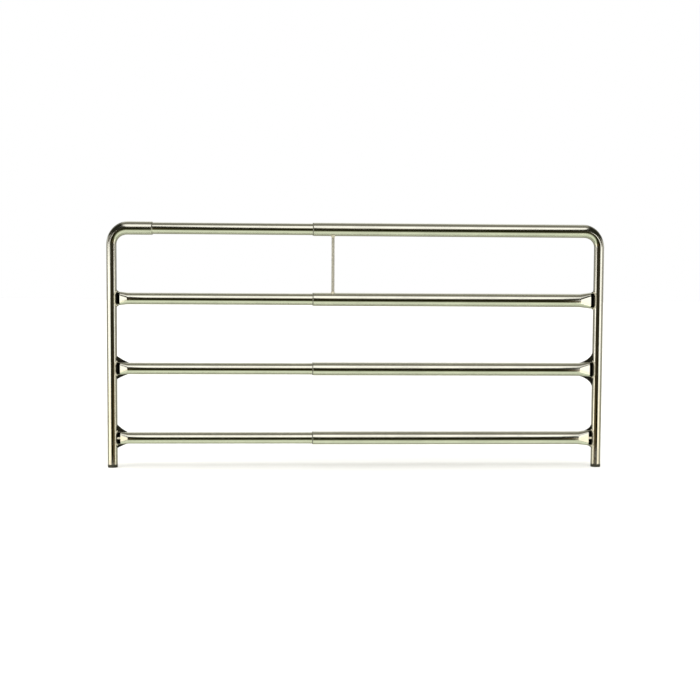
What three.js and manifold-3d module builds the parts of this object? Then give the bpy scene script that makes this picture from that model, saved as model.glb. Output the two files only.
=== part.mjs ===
// Livestock panel gate: a telescopic tube gate with four rails.
//
// The right half is the outer one: a bent bow (top rail and right upright), three lower rails and a
// thin stay rod. The left half slides inside it: an elbow that is also the left upright, a top tube
// sleeved into the elbow, and three lower rails. Millimetres, +Z up, +X to the right.
// The origin is on the ground, at the middle of the gate's extended length.

import * as THREE from 'three';
import { mergeVertices } from 'three/addons/utils/BufferGeometryUtils.js';
import Module from 'manifold-3d';

const wasm = await Module();
wasm.setup();

// ---- Driving dimensions ----

const WIDTH = 1822;              // over both uprights, extended
const OUTER_RADIUS = 24.15;      // 48.3 mm tube
const INNER_RADIUS = 21.2;       // 42.4 mm tube, which slides in the outer one
const UPRIGHT_RADIUS = 18;       // the outer tube is drawn down through its bend
const WALL = 1.5;
const GAP = 0.3;                 // clearance between separate pieces

const RAIL_PITCH = 255;
const LOWEST_RAIL = 108;         // centre of the lowest rail above the ground
const RAILS = [1, 2, 3, 4];      // counted from the top
const LOWER_RAILS = RAILS.slice(1);

const BEND_RADIUS = 60;          // centre line of the bow's bend
const MOUTH_X = -161;            // where the outer tubes end
const STUB_END_X = -746;         // where the elbow ends on the top rail
const SLEEVE_DEPTH = 60;         // top tube inside the elbow
const OVERLAP = 220;             // inner tubes inside the outer ones, extended

const STAY_X = -89.5;
const STAY_RADIUS = 5.5;

const INNER_FLARE_LENGTH = 40;   // formed rail end, from round tube to upright
const OUTER_FLARE_LENGTH = 52;
const FLARE_THICKNESS = 26;      // of the flattened end, front to back
const CLOSED_LENGTH = 15;        // last stretch of the formed end, pressed shut
const SLOT_WIDTH = 12;           // pressed slot beside the upright
const SLOT_MARGIN = 5;           // of the flattened end above and below its slot
const WEB_THICKNESS = 3;         // left between the front and the back slot

// Fillet welds: their rise along the upright and their reach along the rail, above and below each rail.
const WELDS = {
  left: {
    2: { top: { rise: 6, reach: 9 }, bottom: { rise: 6, reach: 9 } },
    3: { top: { rise: 20, reach: 44 }, bottom: { rise: 14, reach: 40 } },
    4: { top: { rise: 24, reach: 38 }, bottom: { rise: 12, reach: 34 } },
  },
  right: {
    2: { top: { rise: 8, reach: 12 }, bottom: { rise: 6, reach: 9 } },
    3: { top: { rise: 34, reach: 50 }, bottom: { rise: 34, reach: 50 } },
    4: { top: { rise: 22, reach: 30 }, bottom: { rise: 8, reach: 16 } },
  },
};
const WELD_FULLNESS = { left: 0.35, right: 0.15 };    // 0.5 is a straight slope, and less is hollow
const WELD_THICKNESS = 10;

const BUSH_LENGTH = 80;
const BUSH_FLANGE = 2.5;
const GLIDE_HEAD = 10;
const GLIDE_SPIGOT = 25;
const PLUG_HEIGHT = 11;          // of a foot plug below its tube
const PLUG_SPIGOT = 25;
const CHAMFER = 1.2;

const SIDES = 24;                // of every round section
const BEND_STEPS = 8;
const FLARE_STEPS = 7;
const WELD_STEPS = 5;
const CORNER = 1 / Math.cos(Math.PI / SIDES);   // puts the flats, not the corners, at the radius

const OUTER_TUBE = { radius: OUTER_RADIUS, flare: OUTER_FLARE_LENGTH };
const INNER_TUBE = { radius: INNER_RADIUS, flare: INNER_FLARE_LENGTH };
const UPRIGHT_X = WIDTH / 2 - UPRIGHT_RADIUS;
const INNER_END_X = MOUTH_X + OVERLAP;
const railHeight = (rail) => LOWEST_RAIL + (RAILS.length - rail) * RAIL_PITCH;
const TOP = railHeight(1);

// ---- Materials ----

const steel = () => new THREE.MeshStandardMaterial({ color: 0xc9c6b6, roughness: 0.22, metalness: 1 });
const weldMetal = () => new THREE.MeshStandardMaterial({ color: 0x8d8a7c, roughness: 0.5, metalness: 1 });
const nylon = () => new THREE.MeshStandardMaterial({ color: 0xd8d5c8, roughness: 0.5, metalness: 0 });
const rubber = () => new THREE.MeshStandardMaterial({ color: 0x3a382d, roughness: 0.8, metalness: 0 });

// ---- Solids ----

// A round section stretched by a flat on each side: x from its front to its back, y along the flat.
function section(radius, flat = 0) {
  return Array.from({ length: SIDES }, (_, corner) => {
    const angle = (2 * Math.PI * (corner + 0.5)) / SIDES;
    const across = radius * CORNER * Math.cos(angle);
    const along = radius * CORNER * Math.sin(angle) + (Math.sign(Math.sin(angle)) * flat) / 2;
    return new THREE.Vector2(across, along);
  });
}

// A closed skin through stations { x, z, turn, radius, flat } of a path in the XZ plane. At turn 0
// the path runs along +X, and at a quarter turn it runs down.
function loft(stations) {
  const positions = [];
  const indices = [];
  for (const { x, z = 0, turn = 0, radius, flat } of stations) {
    for (const { x: across, y: along } of section(radius, flat)) {
      positions.push(x + along * Math.sin(turn), across, z + along * Math.cos(turn));
    }
  }
  for (let ring = 0; ring < stations.length - 1; ring += 1) {
    for (let side = 0; side < SIDES; side += 1) {
      const a = ring * SIDES + side;
      const b = ring * SIDES + ((side + 1) % SIDES);
      indices.push(a, b, b + SIDES, a, b + SIDES, a + SIDES);
    }
  }
  const last = (stations.length - 1) * SIDES;
  for (let side = 1; side < SIDES - 1; side += 1) {
    indices.push(0, side + 1, side, last, last + side, last + side + 1);
  }
  const geometry = new THREE.BufferGeometry();
  geometry.setAttribute('position', new THREE.Float32BufferAttribute(positions, 3));
  geometry.setIndex(indices);
  return geometry;
}

function solid(geometry) {
  const bare = geometry.clone();
  bare.deleteAttribute('normal');
  bare.deleteAttribute('uv');
  const merged = mergeVertices(bare, 1e-4);
  return new wasm.Manifold(new wasm.Mesh({
    numProp: 3,
    vertProperties: new Float32Array(merged.attributes.position.array),
    triVerts: new Uint32Array(merged.index.array),
  }));
}

function geometryOf(manifold) {
  const mesh = manifold.getMesh();
  const geometry = new THREE.BufferGeometry();
  geometry.setAttribute('position', new THREE.BufferAttribute(mesh.vertProperties, 3));
  geometry.setIndex(new THREE.BufferAttribute(mesh.triVerts, 1));
  return geometry;
}

function box(x, y, z, centre) {
  return new THREE.BoxGeometry(x, y, z).translate(centre.x, centre.y, centre.z);
}

// A turned piece about Y, from its profile of [radius, height] points.
function turned(profile) {
  const points = profile.map(([radius, height]) => new THREE.Vector2(radius, height));
  return new THREE.LatheGeometry(points, SIDES, Math.PI / SIDES).scale(CORNER, 1, CORNER);
}

const alongX = (geometry) => geometry.rotateZ(-Math.PI / 2);
const alongZ = (geometry) => geometry.rotateX(Math.PI / 2);

function named(name, geometry, material) {
  geometry.computeVertexNormals();
  const mesh = new THREE.Mesh(geometry, material);
  mesh.name = name;
  return mesh;
}

// ---- Bow: a bent tube from the top rail down to a foot, seen with its upright on the right ----

function bowStations(length, inset, extra) {
  const bendX = length - BEND_RADIUS;
  const stations = [{ x: -extra, z: TOP, radius: OUTER_RADIUS - inset }];
  for (let step = 0; step <= BEND_STEPS; step += 1) {
    const share = step / BEND_STEPS;
    const turn = share * (Math.PI / 2);
    const x = bendX + BEND_RADIUS * Math.sin(turn);
    const z = TOP - BEND_RADIUS * (1 - Math.cos(turn));
    const radius = THREE.MathUtils.lerp(OUTER_RADIUS, UPRIGHT_RADIUS, share) - inset;
    stations.push({ x, z, turn, radius });
  }
  const foot = PLUG_HEIGHT + GAP - extra;
  stations.push({ x: length, z: foot, turn: Math.PI / 2, radius: UPRIGHT_RADIUS - inset });
  return stations;
}

function bow(name, length) {
  const skin = solid(loft(bowStations(length, 0, 0)));
  const bore = solid(loft(bowStations(length, WALL, 1)));
  return named(name, geometryOf(skin.subtract(bore)), steel());
}

function straightTube(name, fromX, toX, radius) {
  const skin = solid(loft([{ x: fromX, radius }, { x: toX, radius }]));
  const bore = solid(loft([fromX - 1, toX + 1].map((x) => ({ x, radius: radius - WALL }))));
  return named(name, geometryOf(skin.subtract(bore)), steel());
}

// ---- Rail ends: flared and flattened against the upright, which is at x = 0 ----

// A station of a tube { radius, flare } with its formed end, from the round tube (form 0) to the
// upright (form 1). Flattening keeps the tube's girth.
function formedStation(x, { radius, flare }, offset) {
  const form = THREE.MathUtils.clamp((UPRIGHT_RADIUS + flare - x) / flare, 0, 1);
  const half = THREE.MathUtils.lerp(radius, FLARE_THICKNESS / 2, form);
  return { x, radius: half + offset, flat: Math.PI * (radius - half) };
}

function railStations(tube, length, offset, fromX) {
  const flareEnd = UPRIGHT_RADIUS + tube.flare;
  const stations = [];
  for (let step = 0; step <= FLARE_STEPS; step += 1) {
    const x = THREE.MathUtils.lerp(fromX, flareEnd, step / FLARE_STEPS);
    stations.push(formedStation(x, tube, offset));
  }
  stations.push({ x: length, radius: tube.radius + offset });
  return stations;
}

const flareHeight = ({ radius }) => FLARE_THICKNESS + Math.PI * (radius - FLARE_THICKNESS / 2);

const uprightClearance = (height) => solid(alongZ(turned([
  [0, -height], [UPRIGHT_RADIUS + GAP, -height], [UPRIGHT_RADIUS + GAP, height], [0, height],
])));

function rail(tube, length) {
  const height = flareHeight(tube);
  const rootX = UPRIGHT_RADIUS / 2;
  const closedX = UPRIGHT_RADIUS + CLOSED_LENGTH;
  const slotDepth = FLARE_THICKNESS;
  const slotY = (WEB_THICKNESS + slotDepth) / 2;
  const slotHeight = height - 2 * SLOT_MARGIN;
  let body = solid(loft(railStations(tube, length, 0, rootX)));
  body = body.subtract(solid(loft(railStations(tube, length + 1, -WALL, closedX))));
  body = body.subtract(uprightClearance(height));
  for (const side of [-1, 1]) {
    const centre = new THREE.Vector3(UPRIGHT_RADIUS + SLOT_WIDTH / 2, side * slotY, 0);
    body = body.subtract(solid(box(SLOT_WIDTH, slotDepth, slotHeight, centre)));
  }
  return geometryOf(body);
}

// A fillet weld in the corner between the upright and the top edge of a formed end.
function railWeld(tube, { rise, reach }, fullness) {
  const edge = flareHeight(tube) / 2;
  const rootX = UPRIGHT_RADIUS / 2;
  const farX = UPRIGHT_RADIUS + reach;
  const far = formedStation(farX, tube, 0);
  const outline = new THREE.Shape();
  outline.moveTo(rootX, 0);
  outline.lineTo(farX, 0);
  outline.lineTo(farX, far.flat / 2 + far.radius);
  outline.quadraticCurveTo(
    UPRIGHT_RADIUS + fullness * reach, edge + fullness * rise,
    UPRIGHT_RADIUS, edge + rise,
  );
  outline.lineTo(rootX, edge + rise);
  const options = { depth: WELD_THICKNESS, bevelEnabled: false, curveSegments: WELD_STEPS };
  const slab = new THREE.ExtrudeGeometry(outline, options);
  slab.rotateX(Math.PI / 2).translate(0, WELD_THICKNESS / 2, 0);
  const end = solid(loft(railStations(tube, 2 * farX, GAP, 0)));
  return geometryOf(solid(slab).subtract(end).subtract(uprightClearance(2 * edge + rise)));
}

// A rail with its fillet welds, as a group whose origin is on the upright's axis.
function railGroup(side, number, tube, length, tubeName) {
  const group = new THREE.Group();
  const sizes = WELDS[side][number];
  const weldTop = railWeld(tube, sizes.top, WELD_FULLNESS[side]);
  const weldBottom = railWeld(tube, sizes.bottom, WELD_FULLNESS[side]).rotateX(Math.PI);
  group.add(
    named(`${tubeName}_${number}`, rail(tube, length), steel()),
    named(`rail_weld_${side}_${number}_top`, weldTop, weldMetal()),
    named(`rail_weld_${side}_${number}_bottom`, weldBottom, weldMetal()),
  );
  group.position.set(0, 0, railHeight(number));
  return group;
}

// ---- Small pieces ----

// The bush's flange covers the outer tube's mouth, and its sleeve lines the tube. It starts at x = 0.
function mouthBush(number) {
  const inner = INNER_RADIUS + GAP;
  const sleeve = OUTER_RADIUS - WALL - GAP;
  const flange = OUTER_RADIUS - CHAMFER / 2;
  const length = BUSH_FLANGE + GAP + BUSH_LENGTH;
  const geometry = alongX(turned([
    [inner, 0], [flange - CHAMFER, 0], [flange, CHAMFER], [flange, BUSH_FLANGE],
    [sleeve, BUSH_FLANGE], [sleeve, length], [inner, length], [inner, 0],
  ]));
  const mesh = named(`mouth_bush_${number}`, geometry, nylon());
  mesh.position.set(MOUTH_X - GAP - BUSH_FLANGE, 0, railHeight(number));
  return mesh;
}

// The glide plug closes an inner tube's hidden end, and its head runs in the outer tube.
function glidePlug(number) {
  const spigot = INNER_RADIUS - WALL - GAP;
  const head = OUTER_RADIUS - WALL - GAP;
  const shoulder = GLIDE_SPIGOT + GAP;
  const end = shoulder + GLIDE_HEAD;
  const geometry = alongX(turned([
    [0, 0], [spigot - CHAMFER, 0], [spigot, CHAMFER], [spigot, shoulder],
    [head, shoulder], [head, end - CHAMFER], [head - CHAMFER, end], [0, end],
  ]));
  const mesh = named(`glide_plug_${number}`, geometry, nylon());
  mesh.position.set(INNER_END_X - GLIDE_SPIGOT, 0, railHeight(number));
  return mesh;
}

function footPlug(name, x) {
  const spigot = UPRIGHT_RADIUS - WALL - GAP;
  const top = PLUG_HEIGHT + PLUG_SPIGOT;
  const geometry = alongZ(turned([
    [0, 0], [UPRIGHT_RADIUS - CHAMFER, 0], [UPRIGHT_RADIUS, CHAMFER], [UPRIGHT_RADIUS, PLUG_HEIGHT],
    [spigot, PLUG_HEIGHT], [spigot, top - CHAMFER], [spigot - CHAMFER, top], [0, top],
  ]));
  const mesh = named(name, geometry, rubber());
  mesh.position.x = x;
  return mesh;
}

// The weld ring where the top tube comes out of the elbow's stub.
function elbowWeld() {
  const inner = INNER_RADIUS + GAP;
  const width = OUTER_RADIUS - INNER_RADIUS;
  const geometry = alongX(turned([
    [inner, 0], [OUTER_RADIUS - CHAMFER / 2, 0], [inner + width / 3, width / 2],
    [inner + CHAMFER / 3, width], [inner, width], [inner, 0],
  ]));
  const mesh = named('elbow_weld', geometry, weldMetal());
  mesh.position.set(STUB_END_X + GAP, 0, TOP);
  return mesh;
}

function stayRod() {
  const length = RAIL_PITCH - 2 * (OUTER_RADIUS + GAP);
  const geometry = alongZ(new THREE.CylinderGeometry(STAY_RADIUS, STAY_RADIUS, length, SIDES / 2));
  const mesh = named('stay_rod', geometry, steel());
  mesh.position.set(STAY_X, 0, TOP - RAIL_PITCH / 2);
  return mesh;
}

// A weld collar round the stay rod where it stands on a tube whose axis is at z = 0.
function stayWeld(name, height, flip) {
  const inner = STAY_RADIUS + GAP;
  const outer = 1.9 * STAY_RADIUS;
  const base = OUTER_RADIUS - STAY_RADIUS;
  const crown = OUTER_RADIUS + 0.4 * STAY_RADIUS;
  const top = OUTER_RADIUS + 1.2 * STAY_RADIUS;
  const collar = solid(alongZ(turned([
    [inner, base], [outer, base], [outer, OUTER_RADIUS], [inner + 2, crown],
    [inner + 0.8, top], [inner, top], [inner, base],
  ])));
  const tube = solid(loft([-2 * outer, 2 * outer].map((x) => ({ x, radius: OUTER_RADIUS + GAP }))));
  const mesh = named(name, geometryOf(collar.subtract(tube)), weldMetal());
  mesh.position.set(STAY_X, 0, height);
  mesh.rotation.x = flip ? Math.PI : 0;
  return mesh;
}

// ---- Outer half: fixed, with the right upright ----

const outerHalf = new THREE.Group();

const outerBow = bow('outer_bow', UPRIGHT_X - MOUTH_X);
outerBow.position.x = MOUTH_X;
outerHalf.add(outerBow);

for (const number of LOWER_RAILS) {
  const length = UPRIGHT_X - MOUTH_X;
  const group = railGroup('right', number, OUTER_TUBE, length, 'outer_rail');
  group.position.x = UPRIGHT_X;
  group.rotation.z = Math.PI;
  outerHalf.add(group);
}
outerHalf.add(
  stayRod(),
  stayWeld('stay_weld_top', railHeight(1), true),
  stayWeld('stay_weld_bottom', railHeight(2), false),
  footPlug('foot_plug_right', UPRIGHT_X),
  ...RAILS.map(mouthBush),
);

// ---- Sliding half: the left upright and the inner tubes ----

const slidingHalf = new THREE.Group();

const elbow = bow('elbow_upright', UPRIGHT_X + STUB_END_X);
elbow.position.x = STUB_END_X;
elbow.rotation.z = Math.PI;

const topTube = straightTube('inner_top_tube', STUB_END_X - SLEEVE_DEPTH, INNER_END_X, INNER_RADIUS);
topTube.position.z = TOP;
slidingHalf.add(elbow, topTube, elbowWeld());

for (const number of LOWER_RAILS) {
  const length = INNER_END_X + UPRIGHT_X;
  const group = railGroup('left', number, INNER_TUBE, length, 'inner_rail');
  group.position.x = -UPRIGHT_X;
  slidingHalf.add(group);
}
slidingHalf.add(footPlug('foot_plug_left', -UPRIGHT_X), ...RAILS.map(glidePlug));

const gate = new THREE.Group();
gate.add(outerHalf, slidingHalf);

export default gate;
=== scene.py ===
import math

import bmesh
import bpy
import numpy as np
from mathutils import Euler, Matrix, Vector


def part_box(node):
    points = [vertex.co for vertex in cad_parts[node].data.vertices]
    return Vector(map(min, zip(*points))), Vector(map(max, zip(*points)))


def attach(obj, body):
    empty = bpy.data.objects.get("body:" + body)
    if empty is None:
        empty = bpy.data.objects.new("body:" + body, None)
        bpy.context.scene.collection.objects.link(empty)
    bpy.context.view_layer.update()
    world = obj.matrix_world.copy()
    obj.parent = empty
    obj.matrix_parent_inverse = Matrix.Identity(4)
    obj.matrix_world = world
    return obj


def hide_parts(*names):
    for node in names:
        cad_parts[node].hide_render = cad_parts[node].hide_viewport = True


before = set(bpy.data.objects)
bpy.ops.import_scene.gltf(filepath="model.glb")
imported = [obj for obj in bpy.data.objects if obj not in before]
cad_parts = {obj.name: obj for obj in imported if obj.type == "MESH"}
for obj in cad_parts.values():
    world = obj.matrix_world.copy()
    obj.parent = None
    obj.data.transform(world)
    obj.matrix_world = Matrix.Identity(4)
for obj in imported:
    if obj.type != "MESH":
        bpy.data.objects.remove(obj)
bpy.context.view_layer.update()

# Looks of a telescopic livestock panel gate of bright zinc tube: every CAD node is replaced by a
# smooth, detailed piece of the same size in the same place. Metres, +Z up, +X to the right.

MM = 0.001

# ---- Sizes, from the frame ----

bow_low, bow_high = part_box("outer_bow")
elbow_low, elbow_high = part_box("elbow_upright")
tube_low, tube_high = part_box("inner_top_tube")
rod_low, rod_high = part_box("stay_rod")
plug_low, plug_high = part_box("foot_plug_right")
bush_low, bush_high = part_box("mouth_bush_1")
glide_low, glide_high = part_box("glide_plug_1")
ring_low, ring_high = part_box("elbow_weld")

OUTER_R = (bow_high.y - bow_low.y) / 2
INNER_R = (tube_high.y - tube_low.y) / 2
UPRIGHT_R = (plug_high.x - plug_low.x) / 2
UPRIGHT_X = {"left": elbow_low.x + UPRIGHT_R, "right": bow_high.x - UPRIGHT_R}
INWARDS = {"left": 1, "right": -1}
MOUTH_X = bow_low.x
STUB_X = elbow_high.x
INNER_END_X = tube_high.x
TUBE_FOOT_Z = bow_low.z
TOP_Z = bow_high.z - OUTER_R
RAILS = (1, 2, 3, 4)
LOWER_RAILS = RAILS[1:]


def middle_z(node):
    low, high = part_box(node)
    return (low.z + high.z) / 2


RAIL_Z = {number: middle_z(f"outer_rail_{number}") for number in LOWER_RAILS}
RAIL_Z[1] = TOP_Z


# ---- Sizes that the frame's boxes don't give ----

WALL = 1.5 * MM
BEND_RADIUS = 60 * MM
BEND_OVAL = 0.03                 # how much the bent tube flattens in the middle of its bend
FLARE_LENGTH = {"left": 40 * MM, "right": 52 * MM}
FLARE_THICKNESS = 26 * MM
CLOSED_LENGTH = 15 * MM
SLOT_WIDTH = 12 * MM
SLOT_MARGIN = 5 * MM
SLOT_EDGE = 0.8 * MM
WEB = 3 * MM
ROOT = math.sqrt(UPRIGHT_R**2 - (FLARE_THICKNESS / 2) ** 2) - MM    # a rail starts in the upright
WELD_HALF_WIDTH = 5 * MM
WELD_FULLNESS = {"left": 0.35, "right": 0.15}    # 0.5 is a straight slope, and less is hollow
BEAD = 3.2 * MM                  # radius of the seam weld round a rail's end
SUNK = 0.3 * MM                  # how far the edges of a fillet weld lie inside the tubes
RIPPLE = 0.25 * MM               # height of the ripples on it
RIPPLE_RATE = 2.2 / MM           # radians of ripple a metre
TACK_RADIUS = 4.2 * MM           # of the bead across the lowest rail's slot
TACK_DEPTH = 4 * MM              # from the face of the formed end to the bead's middle
COLLAR_FOOT = 1.85               # radius of the stay's weld collar, in rod radii
COLLAR_RISE = 1.25               # its height on the rod, in rod radii
GROOVE_WIDTH = 1.2 * MM          # the groove round a foot plug
GROOVE_DEPTH = 0.8 * MM
CLEAR = 0.3 * MM                 # between pieces that only touch
SIDES = 96
INSIDE_PAINTED_SHADE = 0.7              # painted shade: how dark the inside of a tube is painted, where a slot is 1

# ---- Mesh building ----


def ring(points, straight, painted_shade=0.0):
    """One loop of a skin: its points, the same points on the tube laid straight, and how much
    painted shade they carry."""
    points = np.asarray(points, float)
    return {
        "points": points,
        "straight": np.asarray(straight, float),
        "painted_shade": np.zeros(len(points)) + painted_shade,
    }


def skin(name, rings, looped=False, sharp=50):
    """A closed, smooth mesh through rings. A looped one joins its last ring to its first, and
    another is closed by a fan at each end."""
    count = len(rings[0]["points"])
    points = np.concatenate([r["points"] for r in rings])
    straight = np.concatenate([r["straight"] for r in rings])
    painted_shade = np.concatenate([r["painted_shade"] for r in rings])
    steps = len(rings) if looped else len(rings) - 1
    faces = []
    for step in range(steps):
        here = step * count
        there = (step + 1) % len(rings) * count
        for k in range(count):
            following = (k + 1) % count
            faces.append((here + k, here + following, there + following, there + k))
    if not looped:
        for start in (0, (len(rings) - 1) * count):
            end = slice(start, start + count)
            middle = len(points)
            points = np.vstack([points, points[end].mean(0)])
            straight = np.vstack([straight, straight[end].mean(0)])
            painted_shade = np.append(painted_shade, painted_shade[end].mean())
            faces += [(start + k, start + (k + 1) % count, middle) for k in range(count)]
    mesh = bpy.data.meshes.new(name)
    mesh.from_pydata([tuple(p) for p in points], [], faces)
    mesh.attributes.new("straight", "FLOAT_VECTOR", "POINT").data.foreach_set("vector", straight.ravel())
    mesh.attributes.new("painted_shade", "FLOAT", "POINT").data.foreach_set("value", painted_shade)
    work = bmesh.new()
    work.from_mesh(mesh)
    bmesh.ops.recalc_face_normals(work, faces=work.faces)
    work.to_mesh(mesh)
    work.free()
    mesh.polygons.foreach_set("use_smooth", [True] * len(mesh.polygons))
    mesh.set_sharp_from_angle(angle=math.radians(sharp))
    piece = bpy.data.objects.new(name, mesh)
    bpy.context.scene.collection.objects.link(piece)
    return piece


def finished(piece, material, slot, body, *nodes):
    """Gives a piece its material, ties it to its body, and hides the CAD nodes it stands for.
    Its slot argument is not used."""
    piece.data.materials.append(material)
    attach(piece, body)
    if nodes:
        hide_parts(*nodes)
    return piece


def stadium(half, flat, count=SIDES):
    """Evenly spaced points (across, along) of a circle of radius half, stretched along by a flat
    on each side."""
    arc = math.pi * half
    total = 2 * (arc + flat)
    points = []
    for k in range(count):
        way = total * (k + 0.5) / count
        mirror = -1 if way > total / 2 else 1
        way = total - way if mirror < 0 else way
        if way < flat / 2:
            across, along = -half, way
        elif way < flat / 2 + arc:
            angle = (way - flat / 2) / half
            across, along = -half * math.cos(angle), flat / 2 + half * math.sin(angle)
        else:
            across, along = half, total / 2 - way
        points.append((across, mirror * along))
    return np.array(points)


def rounded(profile, cut, steps=4):
    """A profile with its corners cut back and rounded, where its neighbours leave room."""
    out = [profile[0]]
    for before, corner, after in zip(profile, profile[1:], profile[2:]):
        corner = Vector(corner)
        to_before, to_after = Vector(before) - corner, Vector(after) - corner
        start = corner + to_before.normalized() * min(cut, to_before.length * 0.45)
        end = corner + to_after.normalized() * min(cut, to_after.length * 0.45)
        for step in range(steps + 1):
            t = step / steps
            out.append(tuple(start * (1 - t) ** 2 + corner * 2 * t * (1 - t) + end * t**2))
    return out + [profile[-1]]


def turned(name, profile, centre, axis, looped=False):
    """A turned piece, from a profile of (radius, height) points along the x or z axis."""
    rings = []
    for radius, height in profile:
        if radius <= 0:
            continue
        angles = (np.arange(SIDES) + 0.5) * 2 * math.pi / SIDES
        a, b, h = radius * np.cos(angles), radius * np.sin(angles), np.full(SIDES, height)
        own = np.column_stack([h, a, b] if axis == "x" else [a, b, h])
        rings.append(ring(own + np.array(centre), np.column_stack([h, a, b])))
    return skin(name, rings, looped, sharp=60)


# ---- Tubes ----


def lip(start, radius):
    """Stations (distance along, radius) round the rolled end of a tube wall."""
    middle = radius - WALL / 2
    angles = np.linspace(0, math.pi, 9)
    return [(start + WALL / 2 * (1 - math.sin(a)), middle + WALL / 2 * math.cos(a)) for a in angles]


def straight_length(start_x, side):
    """From a bow's mouth to the start of its bend."""
    upright = UPRIGHT_X["right" if side > 0 else "left"]
    return abs(upright - start_x) - BEND_RADIUS


def bow_ring(start_x, side, way, inset):
    """A ring of a bow: along the top rail, round the bend and down the upright, which is slimmer."""
    level = straight_length(start_x, side)
    turn = min(max((way - level) / BEND_RADIUS, 0), math.pi / 2)
    down = max(way - level - BEND_RADIUS * math.pi / 2, 0)
    x = min(way, level) + BEND_RADIUS * math.sin(turn)
    z = TOP_Z - BEND_RADIUS * (1 - math.cos(turn)) - down
    slimming = (OUTER_R - UPRIGHT_R) * math.sin(turn) ** 2
    section = stadium(OUTER_R - slimming - inset, 0)
    across = section[:, 0]
    along = section[:, 1] * (1 - BEND_OVAL * math.sin(2 * turn))
    out = start_x + side * (x + along * math.sin(turn))
    points = np.column_stack([out, across, z + along * math.cos(turn)])
    straight = np.column_stack([np.full(SIDES, way), across, along])
    # painted shade: the inside walls of the tube are marked to be painted dark
    return ring(points, straight, painted_shade=INSIDE_PAINTED_SHADE * (inset > 0.8 * WALL))


def bow(name, start_x, side):
    """A bent tube from its open mouth on the top rail to its foot, outside first, then inside."""
    level = straight_length(start_x, side)
    bend_end = level + BEND_RADIUS * math.pi / 2
    foot = bend_end + TOP_Z - BEND_RADIUS - TUBE_FOOT_Z
    ways = [
        *np.linspace(WALL / 2, level, 20)[1:-1],
        *np.linspace(level, bend_end, 49),
        *np.linspace(bend_end, foot, 20)[1:],
    ]
    stations = [(way, 0) for way in reversed(ways)]
    stations += [(way, OUTER_R - radius) for way, radius in lip(0, OUTER_R)]
    stations += [(way, WALL) for way in ways]
    return skin(name, [bow_ring(start_x, side, way, inset) for way, inset in stations], looped=True)


def straight_tube(name, from_x, to_x, z, radius):
    stations = [(to_x - from_x, radius)] + lip(0, radius) + [(to_x - from_x, radius - WALL)]
    rings = []
    for way, r in stations:
        section = stadium(r, 0)
        x = np.full(SIDES, from_x + way)
        points = np.column_stack([x, section[:, 0], section[:, 1] + z])
        rings.append(ring(points, np.column_stack([x, section])))
    return skin(name, rings, looped=True)


def smooth(value, low, high):
    t = np.clip((value - low) / (high - low), 0, 1)
    return t * t * (3 - 2 * t)


def formed(end, reach, radius):
    """Half thickness and flat of a rail's formed end, at a distance from the upright's axis."""
    form = min(max((UPRIGHT_R + FLARE_LENGTH[end] - reach) / FLARE_LENGTH[end], 0), 1)
    half = radius + (FLARE_THICKNESS / 2 - radius) * form
    return half, math.pi * (radius - half)


def flare_height(radius):
    return FLARE_THICKNESS + math.pi * (radius - FLARE_THICKNESS / 2)


def rail_ring(end, number, reach, radius, inset=0.0):
    """A ring of a lower rail, with the slot pressed into both faces beside the upright."""
    half, flat = formed(end, reach, radius)
    section = stadium(half - inset, flat)
    across, along = section[:, 0], section[:, 1]
    slot = smooth(reach, UPRIGHT_R - SLOT_EDGE, UPRIGHT_R + SLOT_EDGE)
    slot_end = UPRIGHT_R + SLOT_WIDTH
    slot = slot * (1 - smooth(reach, slot_end - SLOT_EDGE, slot_end + SLOT_EDGE))
    slot_height = flare_height(radius) / 2 - SLOT_MARGIN
    slot = slot * (1 - smooth(np.abs(along), slot_height - SLOT_EDGE, slot_height + SLOT_EDGE))
    slot = slot * (inset == 0)
    across = np.sign(across) * (np.abs(across) * (1 - slot) + WEB / 2 * slot)
    x = np.full(SIDES, UPRIGHT_X[end] + INWARDS[end] * reach)
    points = np.column_stack([x, across, along + RAIL_Z[number]])
    # painted shade: the pressed slot and the inside walls are marked to be painted near-black
    painted_shade = np.maximum(slot, INSIDE_PAINTED_SHADE * (inset > 0.9 * WALL))
    return ring(points, np.column_stack([x, across, along]), painted_shade)


def rail(name, end, number, radius, far_x):
    """A lower rail, from its formed end at the upright to its open end."""
    length = abs(far_x - UPRIGHT_X[end])
    flare = UPRIGHT_R + FLARE_LENGTH[end]
    slot_end = UPRIGHT_R + SLOT_WIDTH
    edge = 2 * SLOT_EDGE
    reaches = [
        *np.linspace(ROOT, UPRIGHT_R - edge, 4),
        *np.linspace(UPRIGHT_R - SLOT_EDGE, UPRIGHT_R + SLOT_EDGE, 5),
        *np.linspace(UPRIGHT_R + edge, slot_end - edge, 6),
        *np.linspace(slot_end - SLOT_EDGE, slot_end + SLOT_EDGE, 5),
        *np.linspace(slot_end + edge, flare, 30),
        *np.linspace(flare, length - WALL / 2, 14)[1:-1],
    ]
    rings = [rail_ring(end, number, reach, radius) for reach in reaches]
    for back, lip_radius in lip(0, radius):
        rings.append(rail_ring(end, number, length - back, radius, inset=radius - lip_radius))
    inside = [
        *np.linspace(UPRIGHT_R + CLOSED_LENGTH, flare, 12),
        *np.linspace(flare, length - WALL, 6)[1:-1],
    ]
    for reach in reversed(inside):
        rings.append(rail_ring(end, number, reach, radius, inset=WALL))
    return skin(name, rings)


# ---- Welds ----


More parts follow.
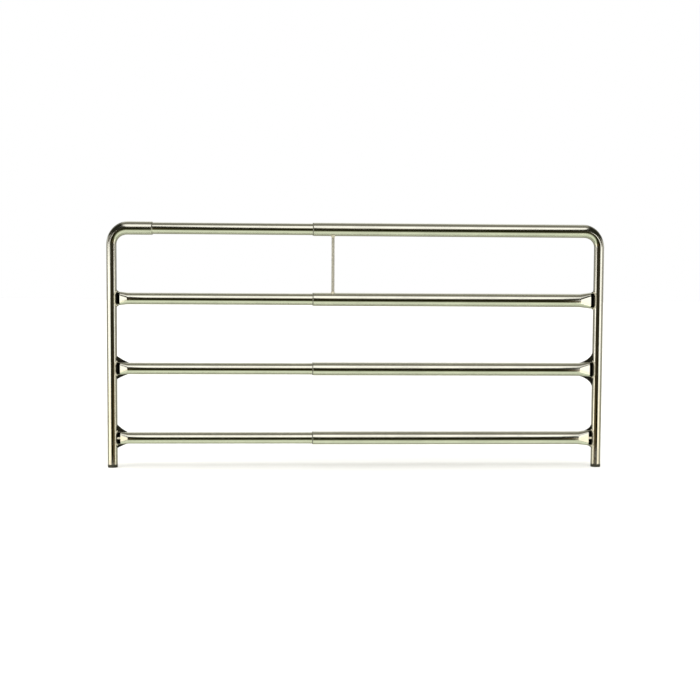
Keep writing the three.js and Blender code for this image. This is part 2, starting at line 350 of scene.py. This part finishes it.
def rail_weld(name, end, number, up, radius, node):
    """A rippled fillet in the corner between the upright and the edge of a formed end, as big as
    its node."""
    low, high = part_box(node)
    rise = max(up * (limit.z - RAIL_Z[number]) for limit in (low, high))
    far = max(INWARDS[end] * (limit.x - UPRIGHT_X[end]) for limit in (low, high))
    fullness = WELD_FULLNESS[end]

    def edge(reach, across):
        half, flat = formed(end, reach, radius)
        return flat / 2 + math.sqrt(max(half**2 - across**2, 0))

    rings = []
    for share in np.linspace(-1, 1, 33):
        across = share * WELD_HALF_WIDTH
        swell = max((1 - abs(share) ** 2.5) ** 0.5, 0.05)
        root = math.sqrt(UPRIGHT_R**2 - across**2) - SUNK
        corner = edge(root, across)
        reach = root + (far - root) * swell
        top = Vector((root, corner + (rise - corner) * swell))
        tip = Vector((reach, edge(reach, across) - SUNK))
        middle = Vector((root + fullness * (reach - root), corner + fullness * (top.y - corner)))
        outline = []
        for t in np.linspace(0, 1, 41):
            point = top * (1 - t) ** 2 + middle * 2 * t * (1 - t) + tip * t**2
            run = t * (rise - corner + far - root)
            ripple = RIPPLE * math.sin(run * RIPPLE_RATE + 3 * share**2) * swell * math.sin(math.pi * t)
            outline.append((point.x + ripple, point.y + ripple))
        outline.append((reach - MM, tip.y - MM))
        outline.append((root - MM, corner - MM))
        outline.append((root - MM, top.y - MM * swell))
        points = []
        for x, z in outline:
            points.append((UPRIGHT_X[end] + INWARDS[end] * x, across, RAIL_Z[number] + up * z))
        rings.append(ring(points, points))
    return skin(name, rings, sharp=70)


def bead(name, centres, outwards, sideways, sizes, looped):
    """A weld bead: round sections at each centre, in the plane of two directions."""
    angles = np.linspace(0, 2 * math.pi, 20, endpoint=False)
    rings = []
    for centre, out, aside, size in zip(centres, outwards, sideways, sizes):
        round_it = np.outer(np.cos(angles), out) + np.outer(np.sin(angles), aside)
        points = np.array(centre) + size * round_it
        rings.append(ring(points, points))
    return skin(name, rings, looped, sharp=70)


def seam_weld(name, end, number, radius):
    """The bead all round a rail's end, where it meets the round of the upright."""
    half, flat = formed(end, UPRIGHT_R, radius)
    outline = stadium(half, flat, count=320)
    centres, outwards, sideways, sizes = [], [], [], []
    for index, (across, along) in enumerate(outline):
        reach = math.sqrt(UPRIGHT_R**2 - across**2)
        centres.append((UPRIGHT_X[end] + INWARDS[end] * reach, across, RAIL_Z[number] + along))
        outwards.append((INWARDS[end] * reach / UPRIGHT_R, across / UPRIGHT_R, 0))
        rise = along - math.copysign(min(abs(along), flat / 2), along)
        sideways.append((0, across / half, rise / half))
        ripple = 0.05 * math.sin(index * math.pi / 3) + 0.10 * math.sin(index * 0.11 + number)
        sizes.append(BEAD * (1 + ripple))
    return bead(name, centres, outwards, sideways, sizes, looped=True)


def tack_weld(name, end, number, face):
    """A short bead across the slot of the lowest rail."""
    centres, sizes = [], []
    depth = face * (FLARE_THICKNESS / 2 - TACK_DEPTH)
    start = UPRIGHT_R - MM
    length = SLOT_WIDTH + 2.5 * MM
    for t in np.linspace(0, 1, 33):
        reach = start + length * t
        centres.append((UPRIGHT_X[end] + INWARDS[end] * reach, depth, RAIL_Z[number]))
        belly = 0.6 + 0.4 * math.sin(math.pi * t)
        ripple = 0.15 * MM * math.sin(t * 40)
        sizes.append(TACK_RADIUS * belly + ripple)
    outwards = [(0, face, 0)] * len(centres)
    return bead(name, centres, outwards, [(0, 0, 1)] * len(centres), sizes, looped=False)


def stay_weld(name, z, up):
    """A concave collar between the stay rod and the round of a tube, closed inside both."""
    rod_x, rod_r = (rod_low.x + rod_high.x) / 2, (rod_high.x - rod_low.x) / 2

    def tube_top(r, angle):
        return math.sqrt(OUTER_R**2 - (r * math.sin(angle)) ** 2)

    rings = []
    for angle in np.arange(72) * 2 * math.pi / 72:
        foot_r = rod_r * (COLLAR_FOOT + 0.06 * math.sin(9 * angle))
        top = Vector((rod_r - 0.1 * MM, OUTER_R + COLLAR_RISE * rod_r))
        middle = Vector((rod_r + 0.8 * MM, OUTER_R + 0.5 * MM))
        foot = Vector((foot_r, tube_top(foot_r, angle) - 0.1 * MM))
        outline = []
        for t in np.linspace(0, 1, 12):
            outline.append(top * (1 - t) ** 2 + middle * 2 * t * (1 - t) + foot * t**2)
        outline.append(Vector((foot_r - MM, tube_top(foot_r, angle) - MM)))
        outline.append(Vector((rod_r - MM, OUTER_R - 1.5 * MM)))
        outline.append(Vector((rod_r - MM, top.y - MM)))
        points = []
        for point in outline:
            x = rod_x + point.x * math.cos(angle)
            points.append((x, point.x * math.sin(angle), z + up * point.y))
        rings.append(ring(points, points))
    return skin(name, rings, looped=True, sharp=70)


# ---- Node graphs ----


class Graph:
    """Adds nodes to a tree. An input may be a number, a colour, a vector or another node's output."""

    def __init__(self, tree):
        self.tree = tree
        tree.nodes.clear()

    def add(self, kind, inputs, output=0, **settings):
        node = self.tree.nodes.new("ShaderNode" + kind)
        for key, value in settings.items():
            setattr(node, key, value)
        for key, value in inputs.items():
            if isinstance(value, bpy.types.NodeSocket):
                self.tree.links.new(value, node.inputs[key])
            else:
                node.inputs[key].default_value = value
        return node.outputs[output] if node.outputs else node

    def math(self, operation, *values):
        return self.add("Math", dict(enumerate(values)), operation=operation)

    def between(self, value, low, high, start=0.0, end=1.0):
        inputs = {"Value": value, "From Min": low, "From Max": high, "To Min": start, "To Max": end}
        return self.add("MapRange", inputs, interpolation_type="SMOOTHSTEP")

    def mix(self, share, first, second):
        return self.add("Mix", {0: share, 6: first, 7: second}, output=2, data_type="RGBA")

    def blend(self, share, first, second):
        return self.add("Mix", {0: share, 2: first, 3: second}, data_type="FLOAT")

    def scaled(self, vector, scale):
        return self.add("Mapping", {"Vector": vector, "Scale": scale})

    def noise(self, vector, scale, detail=3.0, roughness=0.55, distortion=0.0):
        inputs = {"Vector": vector, "Scale": scale, "Detail": detail}
        inputs.update({"Roughness": roughness, "Distortion": distortion})
        return self.add("TexNoise", inputs)

    def attribute(self, name, output):
        return self.add("Attribute", {}, output=output, attribute_name=name)


def material(
    name, colour, roughness, metallic, height=None, distance=0.0003, strength=0.3, specular=0.5,
):
    """A new material whose builder gets a graph, and returns sockets or numbers for the shader."""
    made = bpy.data.materials.new(name)
    made.use_nodes = True
    graph = Graph(made.node_tree)
    inputs = {"Base Color": colour(graph), "Roughness": roughness(graph), "Metallic": metallic(graph)}
    inputs["Specular IOR Level"] = specular
    if height:
        bump = {"Height": height(graph), "Distance": distance, "Strength": strength}
        inputs["Normal"] = graph.add("Bump", bump)
    shader = graph.add("BsdfPrincipled", inputs)
    graph.add("OutputMaterial", {"Surface": shader})
    return made


def rgb(r, g, b):
    return (r, g, b, 1.0)


# ---- Materials ----

GROUND_REFLECTION_HEIGHT = 0.12               # a painted reflection of the ground shows below this


def zinc(name, bright, slide_marks=False):
    """Bright zinc tube: draw lines along it, faint spangle, dull clouds, pits, a painted reflection of
    the ground towards the foot, and painted shade in the slots and inside. The sizes of the patterns are
    per metre."""

    def along(graph, stretch):
        return graph.scaled(graph.attribute("straight", "Vector"), stretch)

    def clouds(graph):
        return graph.between(graph.noise(along(graph, (1, 2, 2)), 7.0, detail=4), 0.35, 0.75)

    def lines(graph):
        return graph.noise(along(graph, (3, 420, 420)), 1.0, detail=2)

    def spangle(graph):
        cells = {"Vector": along(graph, (1, 1, 1)), "Scale": 110.0, "Randomness": 1.0}
        return graph.add("TexVoronoi", cells, output="Color")

    def pits(graph):
        cells = {"Vector": along(graph, (1, 1, 1)), "Scale": 160.0}
        speck = graph.add("TexVoronoi", cells, output="Distance")
        chosen = graph.noise(along(graph, (1, 1, 1)), 38.0, detail=1)
        return graph.math("MULTIPLY", graph.between(speck, 0.16, 0.05), graph.between(chosen, 0.56, 0.66))

    def ground_reflection(graph):
        # painted reflection of the ground: brown, duller patches towards the foot
        place = graph.add("TexCoord", {}, output="Object")
        height = graph.add("SeparateXYZ", {"Vector": place}, output="Z")
        low = graph.between(height, GROUND_REFLECTION_HEIGHT, 0.01, 0.0, 0.3)
        patch = graph.between(graph.noise(place, 22.0, detail=6), 0.35, 0.7)
        return graph.math("MULTIPLY", low, patch)

    def scuffs(graph):
        hair = graph.noise(along(graph, (9, 900, 900)), 1.0, detail=1)
        patch = graph.noise(along(graph, (1, 1, 1)), 9.0, detail=2)
        return graph.math("MULTIPLY", graph.between(hair, 0.56, 0.66), graph.between(patch, 0.5, 0.66))

    def colour(graph):
        base = graph.mix(clouds(graph), rgb(*bright), rgb(*[0.9 * c for c in bright]))
        tone = graph.add("RGBToBW", {"Color": spangle(graph)})
        base = graph.mix(graph.between(tone, 0.2, 0.8, 0.0, 0.10), base, rgb(0.55, 0.56, 0.52))
        base = graph.mix(graph.between(lines(graph), 0.35, 0.65, 0.0, 0.08), base, rgb(0.5, 0.49, 0.44))
        base = graph.mix(graph.math("MULTIPLY", pits(graph), 0.55), base, rgb(0.12, 0.11, 0.08))
        if slide_marks:
            base = graph.mix(graph.math("MULTIPLY", scuffs(graph), 0.25), base, rgb(0.45, 0.45, 0.43))
        # painted reflection of the ground: brown towards the foot
        base = graph.mix(ground_reflection(graph), base, rgb(0.34, 0.28, 0.16))
        # painted shade: near-black in the slots and inside the tubes
        return graph.mix(graph.attribute("painted_shade", "Fac"), base, rgb(0.004, 0.004, 0.003))

    def roughness(graph):
        rough = graph.blend(clouds(graph), 0.10, 0.17)
        rough = graph.math("ADD", rough, graph.between(lines(graph), 0.3, 0.7, -0.015, 0.03))
        rough = graph.blend(scuffs(graph), rough, 0.34 if slide_marks else 0.26)
        rough = graph.blend(ground_reflection(graph), rough, 0.6)
        return graph.blend(graph.attribute("painted_shade", "Fac"), rough, 0.95)

    def metallic(graph):
        return graph.math("SUBTRACT", 1.0, ground_reflection(graph))

    def height(graph):
        wave = graph.noise(along(graph, (1, 1, 1)), 16.0, detail=1)
        fine = graph.math("MULTIPLY", lines(graph), 0.03)
        holes = graph.math("MULTIPLY", pits(graph), -0.25)
        return graph.math("ADD", graph.math("ADD", wave, fine), holes)

    return material(name, colour, roughness, metallic, height, distance=0.0006, strength=0.35)


def mottled(name, dark, light, scale, rough, metal, grain, distance, specular=0.5):
    """A cast, moulded or welded surface: two tones in patches, with grain in its gloss and height."""

    def place(graph):
        return graph.add("TexCoord", {}, output="Object")

    def patches(graph):
        return graph.between(graph.noise(place(graph), scale, detail=5, distortion=0.6), 0.3, 0.72)

    def fine(graph):
        return graph.noise(place(graph), grain, detail=4, roughness=0.65)

    return material(
        name,
        lambda graph: graph.mix(patches(graph), rgb(*dark), rgb(*light)),
        lambda graph: graph.between(fine(graph), 0.3, 0.7, rough[0], rough[1]),
        lambda graph: graph.between(patches(graph), 0.0, 1.0, metal[0], metal[1]),
        lambda graph: graph.math("ADD", fine(graph), patches(graph)),
        distance=distance,
        strength=0.6,
        specular=specular,
    )


ZINC = zinc("bright_zinc", (0.80, 0.79, 0.705))
SLIDING_ZINC = zinc("bright_zinc_sliding", (0.79, 0.78, 0.69), slide_marks=True)
STAY_ZINC = mottled(
    "stay_zinc", dark=(0.46, 0.44, 0.36), light=(0.62, 0.59, 0.50), scale=60,
    rough=(0.45, 0.62), metal=(0.3, 0.5), grain=900, distance=0.0001,
)
# painted shade: the fillet welds are near-black, standing in for the shade in the corners where the rails
# meet the uprights
WELD_PAINTED_SHADE = mottled(
    "fillet_weld_painted_shade", dark=(0.004, 0.004, 0.002), light=(0.022, 0.02, 0.012), scale=130,
    rough=(0.4, 0.65), metal=(0.0, 0.4), grain=700, distance=0.0004, specular=0.12,
)
BRIGHT_WELD = mottled(
    "seam_bead", dark=(0.58, 0.53, 0.40), light=(0.86, 0.82, 0.68), scale=130,
    rough=(0.35, 0.5), metal=(0.2, 0.5), grain=700, distance=0.0003,
)
# grey nylon, kept dark so that the step at each outer tube's mouth shows a painted shade line
NYLON = mottled(
    "grey_nylon", dark=(0.10, 0.10, 0.07), light=(0.17, 0.165, 0.125), scale=90,
    rough=(0.38, 0.52), metal=(0, 0), grain=1500, distance=0.00008,
)
RUBBER = mottled(
    "foot_rubber", dark=(0.022, 0.022, 0.013), light=(0.075, 0.07, 0.045), scale=70,
    rough=(0.6, 0.85), metal=(0, 0), grain=1200, distance=0.00025,
)

# ---- Tubes, rails, welds and the stay ----

FIXED = "outer_half"
SLIDING = "sliding_half"

finished(bow("bow_tube", MOUTH_X, 1), ZINC, "galvanised_tube", FIXED, "outer_bow")
finished(bow("elbow_tube", STUB_X, -1), ZINC, "galvanised_tube", SLIDING, "elbow_upright")
top_tube = straight_tube("sliding_top_tube", tube_low.x, INNER_END_X, TOP_Z, INNER_R)
finished(top_tube, SLIDING_ZINC, "galvanised_tube", SLIDING, "inner_top_tube")

for number in LOWER_RAILS:
    piece = rail(f"outer_tube_{number}", "right", number, OUTER_R, MOUTH_X)
    finished(piece, ZINC, "galvanised_tube", FIXED, f"outer_rail_{number}")
    piece = rail(f"sliding_tube_{number}", "left", number, INNER_R, INNER_END_X)
    finished(piece, SLIDING_ZINC, "galvanised_tube", SLIDING, f"inner_rail_{number}")
    for end, body, radius in (("right", FIXED, OUTER_R), ("left", SLIDING, INNER_R)):
        for up, place in ((1, "top"), (-1, "bottom")):
            node = f"rail_weld_{end}_{number}_{place}"
            piece = rail_weld(f"fillet_{end}_{number}_{place}", end, number, up, radius, node)
            finished(piece, WELD_PAINTED_SHADE, "weld", body, node)
        finished(seam_weld(f"seam_{end}_{number}", end, number, radius), BRIGHT_WELD, "weld", body)

for end, body in (("right", FIXED), ("left", SLIDING)):
    for face, place in ((-1, "front"), (1, "back")):
        piece = tack_weld(f"tack_{end}_{place}", end, LOWER_RAILS[-1], face)
        finished(piece, BRIGHT_WELD, "weld", body)

rod_r = (rod_high.x - rod_low.x) / 2
rod_foot = rod_low.z - CLEAR
rod_top = rod_high.z + CLEAR
rod_profile = [(0, rod_foot), (rod_r, rod_foot), (rod_r, rod_top), (0, rod_top)]
rod = turned("stay_wire", rod_profile, (rod_low.x + rod_r, 0, 0), "z")
finished(rod, STAY_ZINC, "stay_wire", FIXED, "stay_rod")
finished(stay_weld("stay_collar_top", TOP_Z, -1), BRIGHT_WELD, "weld", FIXED, "stay_weld_top")
finished(stay_weld("stay_collar_bottom", RAIL_Z[2], 1), BRIGHT_WELD, "weld", FIXED, "stay_weld_bottom")

# ---- Bushes, glides, plugs and the elbow's weld ring ----

bush_inner = INNER_R + CLEAR
bush_sleeve = OUTER_R - WALL - CLEAR
bush_flange = (bush_high.y - bush_low.y) / 2
flange_end = MOUTH_X - CLEAR
for number in RAILS:
    profile = [(bush_inner, bush_low.x + MM), (bush_inner, bush_low.x), (bush_flange, bush_low.x),
               (bush_flange, flange_end), (bush_sleeve, flange_end), (bush_sleeve, bush_high.x),
               (bush_inner, bush_high.x), (bush_inner, bush_low.x + MM)]
    centre = (0, 0, RAIL_Z[number])
    profile = rounded(profile, 0.7 * MM)[:-1]
    piece = turned(f"guide_bush_{number}", profile, centre, "x", looped=True)
    finished(piece, NYLON, "nylon", FIXED, f"mouth_bush_{number}")

    spigot = INNER_R - WALL - CLEAR
    shoulder = INNER_END_X + CLEAR
    profile = [(0, glide_low.x), (spigot, glide_low.x), (spigot, shoulder), (bush_sleeve, shoulder),
               (bush_sleeve, glide_high.x), (0, glide_high.x)]
    piece = turned(f"glide_{number}", rounded(profile, MM), centre, "x")
    finished(piece, NYLON, "nylon", SLIDING, f"glide_plug_{number}")

for end, body in (("right", FIXED), ("left", SLIDING)):
    seat = TUBE_FOOT_Z - CLEAR
    groove = plug_low.z + 0.45 * seat
    spigot = UPRIGHT_R - WALL - CLEAR
    profile = [(0, 0), (UPRIGHT_R, 0), (UPRIGHT_R, groove),
               (UPRIGHT_R - GROOVE_DEPTH, groove + GROOVE_WIDTH / 2), (UPRIGHT_R, groove + GROOVE_WIDTH),
               (UPRIGHT_R, seat), (spigot, seat), (spigot, plug_high.z), (0, plug_high.z)]
    piece = turned(f"foot_{end}", rounded(profile, 1.6 * MM), (UPRIGHT_X[end], 0, 0), "z")
    finished(piece, RUBBER, "foot_rubber", body, f"foot_plug_{end}")

ring_start = ring_low.x - CLEAR
ring_profile = [(INNER_R, ring_low.x + MM), (INNER_R, ring_start), (OUTER_R - 0.4 * MM, ring_start),
                (OUTER_R - 0.6 * MM, ring_low.x + 0.8 * MM), (INNER_R + 0.9 * MM, ring_high.x - 0.9 * MM),
                (INNER_R, ring_high.x), (INNER_R, ring_low.x + MM)]
piece = turned("elbow_bead", rounded(ring_profile, 0.6 * MM)[:-1], (0, 0, TOP_Z), "x", looped=True)
finished(piece, SLIDING_ZINC, "weld", SLIDING, "elbow_weld")

# ---- Studio: pale floor, soft light from above, and a banded sky that only the metal sees ----

CAMERA_AT = (-0.196, -4.0, 0.652)
CAMERA_DOWN = 3.14               # degrees, as are the next two
CAMERA_YAW = -2.44
CAMERA_ROLL = 0.30
LENS = 56.1
STRIP_DISTANCE = 1.1             # from the upright
STRIP_TURNS = {"left": (23, 81), "right": (22, 64)}    # degrees outwards from straight ahead
STRIP_LOW = -0.6
STRIP_SPLIT = 0.23               # the strips are warmer below this
STRIP_HIGH = 0.88
STRIP_RADIANCE = 1.4
SKY_PEAK = 1.4                   # colours below are shares of it
SKY_BANDS = (                    # degrees round the X axis: 0 ahead, 90 overhead, 180 behind, -90 below
    (-180, (0.26, 0.25, 0.22)), (-150, (0.24, 0.24, 0.19)), (-118, (0.30, 0.31, 0.24)),
    (-100, (0.52, 0.57, 0.44)), (-51, (0.62, 0.67, 0.52)), (-39, (0.30, 0.32, 0.22)),
    (-29, (0.02, 0.02, 0.005)), (-6, (0.003, 0.003, 0.0)), (1, (0.030, 0.026, 0.014)),
    (14, (0.12, 0.11, 0.08)), (20, (0.62, 0.60, 0.54)), (26, (1.00, 0.99, 0.95)),
    (52, (1.00, 0.99, 0.95)), (65, (0.22, 0.21, 0.18)), (78, (0.12, 0.11, 0.095)),
    (95, (0.20, 0.195, 0.16)), (122, (0.24, 0.24, 0.20)), (134, (0.75, 0.75, 0.72)),
    (156, (0.75, 0.75, 0.72)), (168, (0.30, 0.30, 0.27)), (180, (0.26, 0.25, 0.22)),
)


def sky():
    """White to the camera. The metal sees bands, with dark places to the left and right."""
    world = bpy.data.worlds.new("studio")
    bpy.context.scene.world = world
    world.use_nodes = True
    graph = Graph(world.node_tree)
    towards = graph.add("TexCoord", {}, output="Generated")
    x, y, z = [graph.add("SeparateXYZ", {"Vector": towards}, output=axis) for axis in "XYZ"]
    angle = graph.math("ARCTAN2", z, graph.math("MULTIPLY", y, -1.0))
    share = graph.math("ADD", graph.math("DIVIDE", angle, 2 * math.pi), 0.5)
    ramp = graph.add("ValToRGB", {"Fac": share}).node
    elements = ramp.color_ramp.elements
    while len(elements) > 1:
        elements.remove(elements[0])
    for index, (degrees, colour) in enumerate(SKY_BANDS):
        element = elements[0] if index == 0 else elements.new((degrees + 180) / 360)
        element.position = (degrees + 180) / 360
        element.color = rgb(*colour)
    aside = graph.math("ABSOLUTE", x)

    # To the left and right, level with the gate: dark, then grey walls beyond.
    ahead = graph.between(y, 0.05, -0.10)
    level = graph.math("MULTIPLY", graph.between(z, -0.34, -0.24), graph.between(z, 0.30, 0.20))
    flag = graph.math("MULTIPLY", graph.between(aside, 0.27, 0.34), graph.math("MULTIPLY", ahead, level))
    far = graph.between(aside, 0.80, 0.93)
    wall = graph.mix(far, rgb(0.02, 0.017, 0.01), rgb(0.20, 0.178, 0.158))
    earth = graph.mix(far, rgb(0.07, 0.05, 0.02), rgb(0.19, 0.165, 0.10))
    wall = graph.mix(graph.between(z, -0.085, -0.10), wall, earth)
    lit = graph.mix(flag, ramp.outputs["Color"], wall)

    # Above those, aside of the lights overhead: dark ahead and grey behind, which the bends see.
    lean = graph.math("ARCTAN2", aside, z)
    lean = graph.math("ADD", lean, graph.between(x, 0.0, -0.1, 0.0, math.radians(2)))
    corner = graph.between(lean, math.radians(26), math.radians(33))
    corner = graph.math("MULTIPLY", corner, graph.between(lean, math.radians(80), math.radians(70)))
    behind = graph.between(y, 0.15, 0.55)
    unlit = graph.mix(behind, rgb(0.015, 0.015, 0.010), rgb(0.15, 0.148, 0.125))
    lit = graph.mix(corner, lit, unlit)

    # Behind, level with the gate: a dark band for the backs of the tubes.
    band = graph.math("MULTIPLY", graph.between(aside, 0.60, 0.45), graph.between(y, 0.4, 0.6))
    height = graph.math("ABSOLUTE", graph.math("ADD", z, -0.03))
    band = graph.math("MULTIPLY", band, graph.between(height, 0.15, 0.09))
    lit = graph.mix(band, lit, rgb(0.025, 0.022, 0.012))
    metal = graph.add("Background", {"Color": lit, "Strength": SKY_PEAK})
    white = graph.add("Background", {"Color": rgb(1, 1, 1), "Strength": 1.0})
    seen = graph.add("LightPath", {}, output="Is Camera Ray")
    both = graph.add("MixShader", {0: seen, 1: metal, 2: white})
    graph.add("OutputWorld", {"Surface": both})


def strip_light(name, end, low, high, colour):
    """A light panel ahead of the gate and outside an upright, that only shows in reflections."""
    corners = []
    for turn in STRIP_TURNS[end]:
        out, ahead = math.sin(math.radians(turn)), math.cos(math.radians(turn))
        corners.append(Vector((-INWARDS[end] * out, -ahead, 0)))
    near, far = corners
    data = bpy.data.lights.new(name, "AREA")
    data.shape = "RECTANGLE"
    data.size = STRIP_DISTANCE * (far - near).length
    data.size_y = high - low
    data.color = colour
    data.energy = STRIP_RADIANCE * math.pi * data.size * data.size_y
    panel = bpy.data.objects.new(name, data)
    middle = (near + far) / 2
    panel.location = Vector((UPRIGHT_X[end], 0, (low + high) / 2)) + STRIP_DISTANCE * middle
    panel.rotation_euler = middle.to_track_quat("Z", "Y").to_euler()
    panel.visible_camera = False
    bpy.context.scene.collection.objects.link(panel)


def overhead_light():
    data = bpy.data.lights.new("overhead", "SUN")
    data.energy = 3.6
    data.angle = math.radians(70)
    data.color = (1.0, 0.995, 0.985)
    sun = bpy.data.objects.new("overhead", data)
    sun.rotation_euler = Euler((math.radians(8), math.radians(-6), 0))
    sun.visible_glossy = False
    bpy.context.scene.collection.objects.link(sun)


def floor():
    half = 60.0
    mesh = bpy.data.meshes.new("floor")
    corners = [(-half, -half, 0), (half, -half, 0), (half, half, 0), (-half, half, 0)]
    mesh.from_pydata(corners, [], [(0, 1, 2, 3)])
    plane = bpy.data.objects.new("floor", mesh)
    bpy.context.scene.collection.objects.link(plane)
    paint = material("floor_paint", lambda g: rgb(0.88, 0.88, 0.87), lambda g: 0.9, lambda g: 0.0)
    mesh.materials.append(paint)
    plane.visible_glossy = False


def camera():
    data = bpy.data.cameras.new("camera")
    data.lens = LENS
    data.sensor_width = 36.0
    view = bpy.data.objects.new("camera", data)
    view.location = CAMERA_AT
    view.rotation_euler = Euler((math.radians(90 - CAMERA_DOWN), 0, math.radians(CAMERA_YAW)))
    view.rotation_euler.rotate_axis("Z", math.radians(CAMERA_ROLL))
    bpy.context.scene.collection.objects.link(view)
    bpy.context.scene.camera = view


sky()
overhead_light()
for end in UPRIGHT_X:
    strip_light(f"strip_{end}_low", end, STRIP_LOW, STRIP_SPLIT, (1.0, 0.93, 0.78))
    strip_light(f"strip_{end}_high", end, STRIP_SPLIT, STRIP_HIGH, (1.0, 0.99, 0.94))
floor()
camera()
bpy.context.scene.view_settings.view_transform = "Standard"
